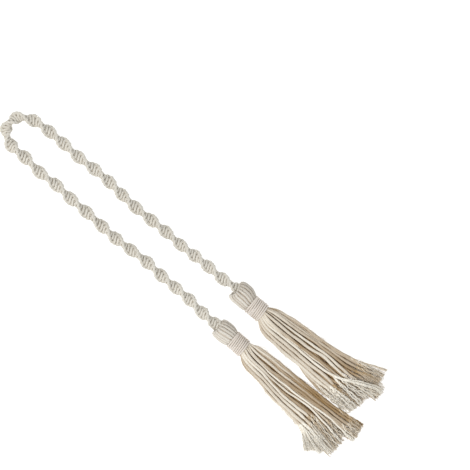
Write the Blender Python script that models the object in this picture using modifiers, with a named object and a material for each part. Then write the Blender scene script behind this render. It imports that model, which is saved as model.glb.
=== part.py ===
"""Curtain tieback: one knotted cord folded double, with a cut-yarn tassel bound to each end.

It lies on a flat surface, z = 0. +X runs from the fold of the cord to the tassels, +Y is across, +Z is up.
The cord is a half-knot spiral: two working strings tied round two filler strings, so that the flat band
of knots turns by half a turn every lobe. Each tassel is a bundle of yarns folded over the cord's end.
Lengths below are in millimetres and are scaled to metres when a shape is made.
"""

import math

import bmesh
import bpy
from mathutils import Matrix, Vector

MM = 0.001

# The knotted cord
BAND_WIDTH = 12.6  # across the flat band, over the knots
BAND_THICKNESS = 8.4
KNOTS_PER_LOBE = 5
VALLEY_SHARE = 0.86  # the band's size between two knots
PRESSED = 0.25  # how far the cord's and the heads' undersides are pressed flat
END_SHARE = 0.74  # the band's size where it enters a tassel
CORD_HEIGHT = BAND_WIDTH / 2 - PRESSED
CORD_START, CORD_STOP = 0.72, 32.33  # in lobes along the table below

# Centres of the cord's lobes, from inside the head of tassel a, round the fold, to inside that of tassel b
LOBES = (
    # x, y, rise above the lying cord
    (65.9, 19.8, 5.8),
    (47.5, 23.6, 4.9),
    (32.8, 22.0, 2.4),
    (14.0, 22.1, 0.4),
    (-3.9, 21.7, 0.0),
    (-21.4, 20.9, 0.0),
    (-40.5, 21.5, 0.0),
    (-59.7, 21.1, 0.0),
    (-80.0, 20.7, 0.0),
    (-98.5, 21.8, 0.0),
    (-116.4, 23.3, 0.0),
    (-136.1, 23.5, 0.0),
    (-155.9, 22.6, 0.0),
    (-176.0, 23.3, 0.0),
    (-194.6, 23.4, 0.0),
    (-213.9, 21.8, 0.0),
    (-229.0, 13.0, 0.0),
    (-229.8, -2.4, 0.0),
    (-215.3, -11.6, 0.0),
    (-197.2, -12.1, 0.0),
    (-176.1, -14.0, 0.0),
    (-155.3, -13.1, 0.0),
    (-135.8, -14.3, 0.0),
    (-115.0, -14.5, 0.0),
    (-93.8, -15.3, 0.0),
    (-75.7, -15.9, 0.0),
    (-56.0, -14.9, 0.0),
    (-36.2, -13.9, 0.0),
    (-16.7, -15.1, 0.0),
    (2.0, -15.1, 0.0),
    (20.0, -15.3, 0.3),
    (38.2, -16.9, 1.9),
    (55.5, -17.0, 3.8),
    (74.3, -17.6, 5.2),
)

# The heads and the bindings, along the tassel's own axis from the binding's upper end
WRAP_TURNS = 8
WRAP_LENGTH = 16.5
WRAP_GROOVE = 0.6  # depth between two turns
WRAP_DEPTH = 1.6  # from the neck's skin to the outside of the string
SEAT_GAP = 0.5  # between the neck and the string, at the corners of their facets
NECK_STANDS_OUT = 1.0  # the bundle's neck below the binding
HEAD_RIDGES = 16  # folded yarns that show round the head
RIDGE_SHARE = 0.06
UNDERSIDE = -0.9  # sine of the angle below which the head's yarns lie flat together
WIDEST = -11.5
SEAT_ALONG, SEAT_RADIUS = -15.5, 6.0  # where the cord's end meets the head, inside its rim
SWAY_LENGTH = 10.0  # over which a head leans aside from its binding
HEAD_PROFILE = (
    # along the axis, share of the head's radius, depth of the yarn ridges as a share
    (-19.8, 0.67, 0.5),
    (-20.6, 0.79, 0.8),
    (-18.6, 0.93, 1.0),
    (-14.5, 1.0, 1.0),
    (-8.5, 1.0, 1.0),
    (-3.6, 0.92, 1.0),
    (-1.0, 0.86, 1.0),
)

# The yarns of a skirt, in rows from the underside up, and their sections
ROW_COUNTS = (5, 8, 9, 8, 5)
ROW_HALF_CHORDS = (4.2, 6.2, 6.8, 6.2, 4.2)
ROW_MARGINS = (0.03, 0.0, 0.0, 0.04, 0.11)  # shares of the fan's width left free at both edges
ROW_PITCH_AT_NECK = 2.5
ROW_PITCH_ON_FLOOR = 1.95
YARN_HEIGHT = 1.7
YARN_WIDTH_AT_NECK, YARN_WIDTH_AT_TIP = 1.4, 3.2
YARN_STATIONS = (-2.0, 0.8, 6.0, 15.0, 29.0, 47.0, 68.0, 90.0, 112.0)  # before its tip
SETTLED_AT = 62.0  # from here on the rows lie on each other on the floor
FANNED_AT = 9.0
WAVE_HEIGHT, WAVE_LENGTH = 0.8, 58.0
LOCK_PART, LOCK_REACH, LOCKS_BEGIN = 0.022, 0.06, 85.0  # how locks draw apart, as shares of the fan's width

TASSELS = {
    "a": {
        "neck": (69.5, 20.9),
        "heading": math.radians(0.5),
        "drop": math.radians(2.0),  # the skirt's end of the binding lies lower
        "height": 10.55,  # of the axis, at the binding's upper end
        "head_radius": 11.3,
        "head_sway": 1.4,
        "wrap_radius": 9.8,
        "fan": (
            # distance below the binding, low edge, high edge
            (0.0, -9.0, 9.6),
            (8.0, -15.0, 12.0),
            (18.0, -17.2, 15.3),
            (28.0, -16.7, 17.0),
            (45.0, -18.3, 18.0),
            (63.0, -16.5, 19.5),
            (73.0, -20.7, 20.0),
            (88.0, -22.3, 22.0),
            (103.0, -22.0, 27.0),
            (118.0, -21.3, 32.0),
            (142.0, -20.5, 37.0),
        ),
        "tips": (
            # share of the fan from its low edge, distance of the cut ends
            (0.0, 126.0),
            (0.22, 130.0),
            (0.26, 134.0),
            (0.46, 134.0),
            (0.50, 141.0),
            (0.75, 141.0),
            (0.79, 132.5),
            (1.0, 132.0),
        ),
        "partings": (0.24, 0.48, 0.77),
    },
    "b": {
        "neck": (78.2, -17.6),
        "heading": 0.0,
        "drop": math.radians(1.2),
        "height": 9.8,
        "head_radius": 10.4,
        "head_sway": 0.3,
        "wrap_radius": 9.3,
        "fan": (
            (0.0, -8.2, 8.6),
            (5.0, -11.8, 10.8),
            (11.0, -14.2, 12.4),
            (20.0, -15.2, 13.2),
            (35.0, -16.7, 13.8),
            (45.0, -20.8, 14.0),
            (60.0, -21.4, 14.2),
            (77.0, -23.2, 14.2),
            (95.0, -26.2, 14.6),
            (110.0, -37.4, 15.4),
            (120.0, -41.0, 16.2),
            (142.0, -43.0, 18.8),
        ),
        "tips": (
            (0.0, 114.0),
            (0.22, 122.0),
            (0.28, 131.0),
            (0.60, 135.0),
            (0.64, 141.0),
            (1.0, 141.0),
        ),
        "partings": (0.25, 0.62, 0.84),
    },
}

COTTON = (0.86, 0.81, 0.72, 1.0)
COTTON_SHADE = (0.82, 0.76, 0.66, 1.0)
COTTON_ROUGHNESS = 0.9


def smooth(share):
    share = min(1.0, max(0.0, share))
    return share * share * (3 - 2 * share)


def mix(first, second, share):
    return first + (second - first) * share


def read(table, at, column):
    """A column of a table whose first column rises, read in straight lines between its rows."""
    for row, following in zip(table, table[1:]):
        if at <= following[0]:
            break
    share = min(1.0, max(0.0, (at - row[0]) / (following[0] - row[0])))
    return mix(row[column], following[column], share)


def route(at):
    """The cord's centre, in lobes along the table of lobes: a smooth curve through their centres."""
    index = min(max(int(at), 1), len(LOBES) - 3)
    t = at - index
    before, here, there, after = (
        Vector((x, y, CORD_HEIGHT + rise)) for x, y, rise in LOBES[index - 1 : index + 3]
    )
    if at < 1:
        before, here, there, after, t = before * 2 - here, before, here, there, at
    if at > len(LOBES) - 2:
        before, here, there, after, t = here, there, after, after * 2 - there, at - index - 1
    return 0.5 * (
        2 * here
        + (there - before) * t
        + (2 * before - 5 * here + 4 * there - after) * t**2
        + (3 * here - before - 3 * there + after) * t**3
    )


def cotton(name, colour):
    material = bpy.data.materials.new(name)
    material.diffuse_color = colour
    material.use_nodes = True
    shader = material.node_tree.nodes["Principled BSDF"]
    shader.inputs["Base Color"].default_value = colour
    shader.inputs["Roughness"].default_value = COTTON_ROUGHNESS
    shader.inputs["Metallic"].default_value = 0.0
    return material


def collection(name):
    made = bpy.data.collections.new(name)
    bpy.context.scene.collection.children.link(made)
    return made


def place(name, data, into, material=None):
    made = bpy.data.objects.new(name, data)
    into.objects.link(made)
    if material:
        data.materials.append(material)
    return made


def helper(made):
    made.hide_render = True
    made.display_type = "WIRE"
    return made


def band_profile(into):
    """The knotted band's section: flat, with rounded faces and a small flat along each edge."""
    a, b = BAND_WIDTH / 2, BAND_THICKNESS / 2
    corners = [(a, 0.3 * b), (0.62 * a, 0.95 * b), (-0.62 * a, 0.95 * b), (-a, 0.3 * b)]
    corners += [(-x, -y) for x, y in corners]
    curve = bpy.data.curves.new("band_profile", "CURVE")
    spline = curve.splines.new("POLY")
    spline.points.add(len(corners) - 1)
    for point, (x, y) in zip(spline.points, corners):
        point.co = (x * MM, y * MM, 0, 1)
    spline.use_cyclic_u = True
    return helper(place("band_profile", curve, into))


def knotted_cord(into, helpers, material):
    """The band swept along its route, a knot's crest and the valley after it in turn, twisting as it goes."""
    curve = bpy.data.curves.new("knotted_cord", "CURVE")
    curve.dimensions = "3D"
    curve.twist_mode = "Z_UP"
    curve.bevel_mode = "OBJECT"
    curve.bevel_object = band_profile(helpers)
    curve.use_fill_caps = True
    steps_per_lobe = 2 * KNOTS_PER_LOBE
    first = math.ceil(CORD_START * steps_per_lobe)
    last = math.floor(CORD_STOP * steps_per_lobe)
    stations = [CORD_START, *(step / steps_per_lobe for step in range(first + 1, last)), CORD_STOP]
    spline = curve.splines.new("POLY")
    spline.points.add(len(stations) - 1)
    for point, at in zip(spline.points, stations):
        step = round(at * steps_per_lobe)
        from_end = min(at - CORD_START, CORD_STOP - at)
        point.co = (*(route(at) * MM), 1)
        point.radius = (1 if step % 2 else VALLEY_SHARE) * mix(END_SHARE, 1, smooth(from_end))
        point.tilt = math.pi * at
    swept = place("knotted_cord_sweep", curve, helpers)
    mesh = bpy.data.meshes.new_from_object(evaluated(swept))
    bpy.data.objects.remove(swept)
    press_flat(mesh)
    return place("knotted_cord", mesh, into, material)


def evaluated(made):
    bpy.context.view_layer.update()
    return made.evaluated_get(bpy.context.evaluated_depsgraph_get())


def press_flat(mesh):
    """What would reach below the surface lies flat on it. A curve's caps are welded to its sides."""
    for vertex in mesh.vertices:
        vertex.co.z = max(0.0, vertex.co.z)
    soft = bmesh.new()
    soft.from_mesh(mesh)
    bmesh.ops.remove_doubles(soft, verts=soft.verts, dist=1e-6)
    bmesh.ops.recalc_face_normals(soft, faces=soft.faces)
    soft.to_mesh(mesh)
    soft.free()


def loft(shape, rings):
    """Joins rings of as many points each into one closed body, with a flat face over the first and the last."""
    made = [[shape.verts.new(Vector(point) * MM) for point in ring] for ring in rings]
    for ring, following in zip(made, made[1:]):
        for k in range(len(ring)):
            n = (k + 1) % len(ring)
            shape.faces.new((ring[k], ring[n], following[n], following[k]))
    shape.faces.new(reversed(made[0]))
    shape.faces.new(made[-1])


def mesh_of(name, shape):
    bmesh.ops.recalc_face_normals(shape, faces=shape.faces)
    mesh = bpy.data.meshes.new(name)
    shape.to_mesh(mesh)
    shape.free()
    return mesh


def axis_place(tassel):
    """Where a tassel's axis lies: x along it from the binding's upper end, y across, z up."""
    x, y = tassel["neck"]
    return (
        Matrix.Translation((x, y, tassel["height"]))
        @ Matrix.Rotation(tassel["heading"], 4, "Z")
        @ Matrix.Rotation(tassel["drop"], 4, "Y")
    )


def head_ring(tassel, along, radius, ridge=0.0):
    """A ring round the tassel's axis, with a crest for each folded yarn, pressed flat underneath."""
    axis = axis_place(tassel)
    sway = tassel["head_sway"] * smooth(-along / SWAY_LENGTH)
    ring = []
    for k in range(2 * HEAD_RIDGES):
        angle = math.pi * k / HEAD_RIDGES
        valley = k % 2 and math.sin(angle) > UNDERSIDE
        reach = radius * (1 - RIDGE_SHARE * ridge * valley)
        point = axis @ Vector((along, sway + reach * math.cos(angle), reach * math.sin(angle)))
        point.z = max(point.z, 0.0)
        ring.append(point)
    return ring


def tassel_core(tassel):
    """The head, hollowed where the cord goes in, and the neck under the binding."""
    neck = tassel["wrap_radius"] - WRAP_DEPTH
    rings = [head_ring(tassel, SEAT_ALONG, SEAT_RADIUS)]
    for along, share, ridge in HEAD_PROFILE:
        rings.append(head_ring(tassel, along, share * tassel["head_radius"], ridge))
    rings.append(head_ring(tassel, -SEAT_GAP, neck))
    rings.append(head_ring(tassel, WRAP_LENGTH + NECK_STANDS_OUT, neck))
    shape = bmesh.new()
    loft(shape, rings)
    return shape


def yarn_line(tassel, row, index):
    """The stations of one yarn of a skirt: distance below the binding, across, middle height, width."""
    count = ROW_COUNTS[row]
    share = mix(ROW_MARGINS[row], 1 - ROW_MARGINS[row], index / (count - 1))
    across_neck = ROW_HALF_CHORDS[row] * (2 * index / (count - 1) - 1)
    from_middle = row - (len(ROW_COUNTS) - 1) / 2
    neck_z = tassel["height"] - math.sin(tassel["drop"]) * WRAP_LENGTH
    neck_z += from_middle * ROW_PITCH_AT_NECK
    floor_z = YARN_HEIGHT / 2 + row * ROW_PITCH_ON_FLOOR
    length = read(tassel["tips"], share, 1)
    line = []
    for along in (*YARN_STATIONS, length):
        apart = sum(
            math.copysign(LOCK_PART, share - parting)
            * math.exp(-(((share - parting) / LOCK_REACH) ** 2))
            for parting in tassel["partings"]
        ) * smooth((along - LOCKS_BEGIN) / (length - LOCKS_BEGIN))
        low, high = (read(tassel["fan"], along, column) for column in (1, 2))
        margin = YARN_WIDTH_AT_TIP / 2
        spread = mix(low + margin, high - margin, share + apart)
        wave = WAVE_HEIGHT * math.sin(math.tau * along / WAVE_LENGTH + 2.5 * share + 1.3 * row)
        fanned = smooth(along / FANNED_AT)
        across = mix(across_neck, spread + wave * smooth(along / SETTLED_AT), fanned)
        height = mix(neck_z, floor_z, smooth(along / SETTLED_AT))
        width = mix(YARN_WIDTH_AT_NECK, YARN_WIDTH_AT_TIP, smooth(along / SETTLED_AT))
        line.append((along, across, height, width))
    return line


def skirt_yarns(tassel):
    """All the yarns of one skirt, each a closed strip of four sides that lies level."""
    x, y = tassel["neck"]
    shape = bmesh.new()
    for row, count in enumerate(ROW_COUNTS):
        for index in range(count):
            rings = []
            for along, across, height, width in yarn_line(tassel, row, index):
                ring = []
                for side, up in ((-1, -1), (1, -1), (1, 1), (-1, 1)):
                    out = x + WRAP_LENGTH + NECK_STANDS_OUT + along
                    edge = y + across + side * width / 2
                    ring.append((out, edge, height + up * YARN_HEIGHT / 2))
                rings.append(ring)
            loft(shape, rings)
    return shape


def tassel_body(name, tassel, into, helpers, material):
    """The folded yarns: the skirt's yarns stand apart, and their roots are joined into the neck."""
    body = place(f"tassel_{name}", mesh_of("core", tassel_core(tassel)), into, material)
    yarns = helper(place(f"yarns_{name}", mesh_of("yarns", skirt_yarns(tassel)), helpers))
    joined = body.modifiers.new("yarns", "BOOLEAN")
    joined.operation = "UNION"
    joined.object = yarns
    return body


def binding(name, tassel, into, material):
    """The string wound round the neck: a turned ring with a crest for each turn."""
    pitch = WRAP_LENGTH / WRAP_TURNS
    inside = tassel["wrap_radius"] - WRAP_DEPTH + SEAT_GAP
    profile = [(inside, 0.0), (inside, WRAP_LENGTH)]
    for step in range(2 * WRAP_TURNS, -1, -1):
        depth = 0.0 if step % 2 else WRAP_GROOVE
        profile.append((tassel["wrap_radius"] - depth, step * pitch / 2))
    mesh = bpy.data.meshes.new("binding")
    count = len(profile)
    edges = [(k, (k + 1) % count) for k in range(count)]
    mesh.from_pydata([(radius * MM, 0, along * MM) for radius, along in profile], edges, [])
    ring = place(f"wrap_{name}", mesh, into, material)
    screw = ring.modifiers.new("turned", "SCREW")
    screw.axis = "Z"
    screw.steps = screw.render_steps = 16
    screw.use_merge_vertices = True
    screw.merge_threshold = 1e-5
    screw.use_normal_calculate = True
    metres = axis_place(tassel)
    metres.translation *= MM
    ring.matrix_world = metres @ Matrix.Rotation(math.pi / 2, 4, "Y")
    return ring


def main():
    for old in list(bpy.data.objects):
        bpy.data.objects.remove(old)
    tieback = collection("curtain_tieback")
    helpers = collection("helpers")
    knotted_cord(tieback, helpers, cotton("cotton_string", COTTON))
    yarn = cotton("cotton_yarn", COTTON)
    wrap = cotton("cotton_wrap", COTTON_SHADE)
    for name, tassel in TASSELS.items():
        tassel_body(name, tassel, tieback, helpers, yarn)
        binding(name, tassel, tieback, wrap)


main()
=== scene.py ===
"""Curtain tieback: a knotted cotton cord folded double, with a cut-yarn tassel bound to each end.

Laid out as an add-on, and run as a script. Tables are in millimetres, in the part's own frame: +X runs from
the fold of the cord to the tassels, +Y is across, +Z is up, and the tieback lies on z = 0.
"""

import math
from functools import partial
from typing import NamedTuple

import bpy
import numpy as np
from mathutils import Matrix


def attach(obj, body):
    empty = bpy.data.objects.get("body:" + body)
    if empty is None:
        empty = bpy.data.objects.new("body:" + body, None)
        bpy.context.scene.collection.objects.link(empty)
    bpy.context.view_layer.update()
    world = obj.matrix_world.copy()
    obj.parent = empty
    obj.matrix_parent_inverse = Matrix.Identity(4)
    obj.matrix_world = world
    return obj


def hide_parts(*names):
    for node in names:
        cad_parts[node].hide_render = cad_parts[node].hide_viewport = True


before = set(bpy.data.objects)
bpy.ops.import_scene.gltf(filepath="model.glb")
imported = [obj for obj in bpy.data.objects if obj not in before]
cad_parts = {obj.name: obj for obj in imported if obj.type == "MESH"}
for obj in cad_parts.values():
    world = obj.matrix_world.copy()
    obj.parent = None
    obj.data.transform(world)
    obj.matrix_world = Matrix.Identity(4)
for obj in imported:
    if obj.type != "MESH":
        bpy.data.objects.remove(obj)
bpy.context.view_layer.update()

bl_info = {
    "name": "Tasselled Curtain Tieback",
    "version": (1, 0, 0),
    "blender": (4, 5, 0),
    "location": "View3D > Sidebar > Tieback",
    "description": "Dresses a knotted curtain tieback with its strings, yarns, bindings and frayed ends",
    "category": "Add Mesh",
}

MM = 0.001
BODY = "root"
SEEDS = {"cord": 11, "head": 21, "binding": 31, "skirt": 41}
SURFACE_CLEARANCE = 0.03  # how far above the table the lowest fibres lie
PRESSED = 0.86  # the share of its radius at which a pressed strand's middle lies above that
STRAND_SIDES = 8
PLIES = 4

# The cord: a half-knot spiral, five knots to a lobe
KNOTS_PER_LOBE = 5
CORD_HEIGHT = 6.05
CORD_START, CORD_STOP = 0.72, 32.33
CORD_TAIL = 0.2  # how far the strings run on inside the heads, in lobes
END_SHARE = 0.93  # how large the knots are at the heads
FILLER_OFFSET = 1.25  # from the middle of the cord to each filler
CORD_PLY_RELIEF = 0.18
KNOT_UNEVENNESS = (("across", 0.045), ("thick", 0.07), ("along", 0.05))
STRING_UNEVENNESS = 0.03
CORD_SPACING, FILLER_SPACING = 0.85, 1.2  # between the rings of points along a string
CORD_TONE, CORD_TONE_RUN = 0.25, 160  # how far the strings' tone swings, and how slowly
FILLER_TONE = -0.3

# Centres of the cord's lobes, from inside the head of tassel a, round the fold, to inside that of tassel b:
# x, y, and the rise above the lying cord
LOBES = (
    (70.0, 20.6, 5.8), (51.5, 24.2, 5.2), (32.8, 22.0, 2.4), (14.0, 22.1, 0.4),
    (-3.9, 21.7, 0.0), (-21.4, 20.9, 0.0), (-40.5, 21.5, 0.0), (-59.7, 21.1, 0.0),
    (-80.0, 20.7, 0.0), (-98.5, 21.8, 0.0), (-116.4, 23.3, 0.0), (-136.1, 23.5, 0.0),
    (-155.9, 22.6, 0.0), (-176.0, 23.3, 0.0), (-194.6, 23.4, 0.0), (-213.9, 21.8, 0.0),
    (-229.0, 13.0, 0.0), (-229.8, -2.4, 0.0), (-215.3, -11.6, 0.0), (-197.2, -12.1, 0.0),
    (-176.1, -14.0, 0.0), (-155.3, -13.1, 0.0), (-135.8, -14.3, 0.0), (-115.0, -14.5, 0.0),
    (-93.8, -15.3, 0.0), (-75.7, -15.9, 0.0), (-56.0, -14.9, 0.0), (-36.2, -13.9, 0.0),
    (-16.7, -15.1, 0.0), (2.0, -15.1, 0.0), (20.0, -15.3, 0.3), (38.2, -16.9, 1.9),
    (55.5, -17.0, 3.8), (74.3, -17.6, 5.2),
)

# One half knot as one of its two working strings goes through it
HALF_KNOT = (
    # across the band, through it, as shares of the string's reach; along it, as a share of a knot
    (-1.00, 0.35, -0.50),
    (-1.00, -0.07, -0.30),
    (-0.93, -0.47, -0.02),
    (-0.82, -0.10, 0.28),
    (-0.60, 0.73, 0.36),
    (-0.30, 0.97, 0.25),
    (0.00, 1.00, 0.02),
    (0.30, 0.97, -0.20),
    (0.55, 0.73, -0.30),
    (0.75, 0.04, -0.20),
    (0.90, -0.42, 0.10),
    (1.00, -0.38, 0.30),
)

# One folded yarn of a head: from beside the cord, over the rim, to under the binding
HEAD_YARN = (
    # along the axis from the binding, share of the head's reach, share of the yarn's thickness
    (-13.0, 0.60, 0.75),
    (-16.5, 0.64, 0.80),
    (-18.6, 0.71, 0.85),
    (-19.3, 0.80, 0.90),
    (-18.8, 0.89, 0.95),
    (-17.2, 0.96, 1.0),
    (-14.5, 1.0, 1.0),
    (-8.5, 1.0, 1.0),
    (-4.0, 0.92, 0.97),
    (-1.2, 0.83, 0.88),
    (0.6, 0.74, 0.80),
    (4.0, 0.70, 0.75),
)
HEAD_LAYERS = (
    # inward from the outside, steps round from the first layer's yarns, depth among the others, by which they
    # are painted in shade
    (0.0, 0.0, 0.0),
    (1.25, 0.5, 0.3),
)
HEAD_YARN_SHARE = 1.06  # a head's yarns against the skirt's, in thickness
HEAD_STEPS = 56  # along each of its yarns
# How uneven they are
HEAD_PLAY = {"turn": 0.09, "reach": 0.14, "rim": 0.25, "tone": 0.12, "width": 0.04}
SWAY_LENGTH = 10.0

WRAP_LENGTH = 16.5
WRAP_PLY_TURN = 4.4
WRAP_PLY_RELIEF = 0.12
WRAP_POINTS = 40  # to a turn
WRAP_SPACING = 0.75
WRAP_BEGINS = -1.1  # where its first turn starts, round the axis
WRAP_SLANT = 0.07
WRAP_PLAY = {"along": 0.16, "out": 0.12}  # how uneven its turns are
WRAP_TUCK, TUCK_TURNS = 1.5, 0.12  # how deep both its ends are tucked in, and within how much of a turn

NECK_RADIUS_INSIDE = 2.9  # from the binding's outside to the centre of the neck's outer yarns
ROOT_SPAN = (6, 174)  # degrees round the neck, from edge to edge, between which the top yarns leave it
ROOT_PLAY = 0.03
TUCKED_IN = 6.0  # how far the skirt's yarns start inside the binding
SETTLED_AT = 62.0  # from here on the yarns lie on the table
LEFT_NECK, LEFT_SHARE = 6.0, 0.66  # here a top yarn has gone this share of its way to its line
STATIONS = (14.0, 29.0, 44.0, 59.0, 74.0, 89.0, 104.0, 119.0, 134.0)
QUARTERS = (8.0, 45.0, 85.0, 122.0)
SKIRT_POINTS = 176  # along each yarn's line
YARN_STEPS = 150  # along its twisted part
OPENING_OVERLAP = 9  # points of a yarn that run on among its loose fibres
TOP_STEPS, UNDER_STEPS = 24, 14  # along the loose fibres of the yarns on top and below
FULL_WIDTH = 3.2  # of a yarn whose plies part by the usual spread
TWIST_OUT = 0.45  # the share of an opened end after which no twist is left
CRIMP_LENGTH = 7.0
PLY_SHARE = 0.42  # a ply's thickness against its yarn's
PLY_STOPS = 0.38  # how far before the cut a ply has come apart
PALEST = 0.6  # how light loose fibres become at the cut

# The rows of yarns under the top one, from the table up
UNDER_ROWS = (
    # yarns, half the row's width in the neck, height from the neck's middle, height on the table
    (15, 4.6, -4.6, 1.25),
    (14, 6.3, -1.9, 3.25),
    (13, 6.9, 0.9, 5.2),
)
TOP_FLOOR = 7.4  # height of the top yarns on the table, in the middle of the skirt
EDGE_FALL = 4.4  # how much lower they lie at its edges
NECK_SHARE = 0.75  # of a top yarn's width, in the binding
UNDER_YARN_SHARE = 0.94
ROW_STAGGER, ROW_PLAY = 0.25, 0.15  # in steps from yarn to yarn
OUTERMOST = 0.012  # how near a skirt's edges the outer yarns of its rows lie, as a share of its width
FAN_MARGIN = 1.3  # from those edges to the middles of the yarns there
FANS_WITHIN = 9.0  # the length in which the rows widen from the neck
TIP_PLAY = (0.6, 1.1)  # how much longer than in their table the lower yarns are cut, and how unevenly
UNDER_OPENS = (0.68, 0.8)  # shares of a lower yarn's length
UNDER_NEAR_TONES = (0.75, 0.1)  # how light the lower yarns leave the binding, from edge to edge: painted shade, lighter at the edge toward the key light
UNDER_TONES_FROM = 75.0  # from here on they are as light as their table says
# How far yarns wander across and up, and in what wavelength
TOP_WANDER = ((0.2, 34.0), (0.3, 30.0))
UNDER_WANDER = ((0.45, 38.0), (0.25, 30.0))
YARN_SWELL = (0.05, 26.0)  # how far a yarn's thickness wanders, and in what wavelength
YARN_TONE_PLAY = 0.1
THINNED, THINS_FROM, THINS_OVER = 0.6, 0.92, 0.08  # how much a yarn thins among its loose fibres, and where

# How unevenly the plies and fibres of the opened ends lie
PLY_SPREADS = (0.3, 1.7)
PLY_CUT_PLAY, FIBRE_CUT_PLAY = 0.03, 0.02
PLY_TONE_PLAY = 0.4
CRIMP_LENGTHS = (0.8, 1.7)
FIBRE_REACH = 0.125  # at most, from the middle of a fibre's ply, as a share of the yarn's thickness
STRAY_SHARE = 0.22
LEAN_SHARE = 0.5

# Single hairs along a skirt's edges
HAIR_SHARE = 0.6  # a hair's thickness against a wisp's
HAIR_STARTS = (8, 112)
HAIR_LENGTHS = (7, 20)
HAIR_LEAVES = (0.8, 2.6)  # how far it leaves the edge
HAIR_TONES = (0.0, 0.8)
HAIRS_IN_FRONT, HAIRS_ARCHED = 0.55, 0.5  # shares of them

# The grain of spun fibres: how fine it is round and along a strand, and how it slants
GRAIN = (26.0, 4.16, 1.0)
GRAIN_SLANT = 0.35

# The stage, in metres
TABLE_SIZE = 6.0
TABLE_DROP = 0.00005
KEY_PLACE = (-0.3, -0.9, 1.85)
KEY_AWAY = 0.95  # how far beside the tieback's middle the key light hangs, for its tilt
KEY_SIZE = 1.3
KEY_COLOUR = (1.0, 0.98, 0.95)
SKY_COLOUR = (0.96, 0.985, 1.0, 1.0)
TABLE_COLOUR = (0.5, 0.5, 0.5, 1.0)
WHITE = (1.0, 1.0, 1.0, 1.0)
PICTURE_CENTRE = (0.0137, 0.0636)
PICTURE_TURN = math.radians(40)
PICTURE_WIDTH = 0.470
MID_HEIGHT = 0.006  # the height at which the picture has its width
SENSOR = 36.0


class Strand(NamedTuple):
    """One of the yarns that lie on top of a skirt."""

    line: tuple  # y at each station
    width: tuple  # at each quarter
    rise: tuple  # above or below its neighbours, at each quarter
    opens: float  # where its twist comes apart
    ends: float  # where it is cut
    tones: tuple  # how light it is, at each quarter: its own tone together with painted shade where it lies in shadow
    combed: float = 0.0  # how smooth its loose fibres lie, from crimped to combed


class Tassel(NamedTuple):
    """The measures of one tassel. Lengths along its skirt start at the binding's lower end."""

    neck: tuple  # x and y of the binding's upper end
    heading: float  # how its axis turns on the table
    drop: float  # how its axis slopes down to the skirt
    height: float  # of the axis at the binding's upper end
    head_radius: float
    head_dip: float  # how far the rim is drawn in on top
    head_length: float  # against the usual head's
    head_sway: float  # how far the rim leans across
    head_yarns: int
    head_phase: float  # where the first yarn lies round the axis
    head_skew: float  # how the yarns turn round the axis, for each millimetre along it
    head_tones: tuple  # how light the yarns are, from one side to the other: painted shade, lighter on the side toward the key light and darker on the far side
    wrap_radius: float
    fan: tuple  # along the skirt: its two edges, from the axis
    under_tones: tuple  # from edge to edge: how light the lower yarns are, as painted shade, lighter at the edge toward the key light
    under_combed: tuple  # from edge to edge: how smooth their loose fibres lie
    tips: tuple  # from edge to edge: where they are cut
    strands: tuple  # the yarns on top


# painted shade: the tones at each quarter darken the yarns where they lie in shadow, beside their own
# unevenness
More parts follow.
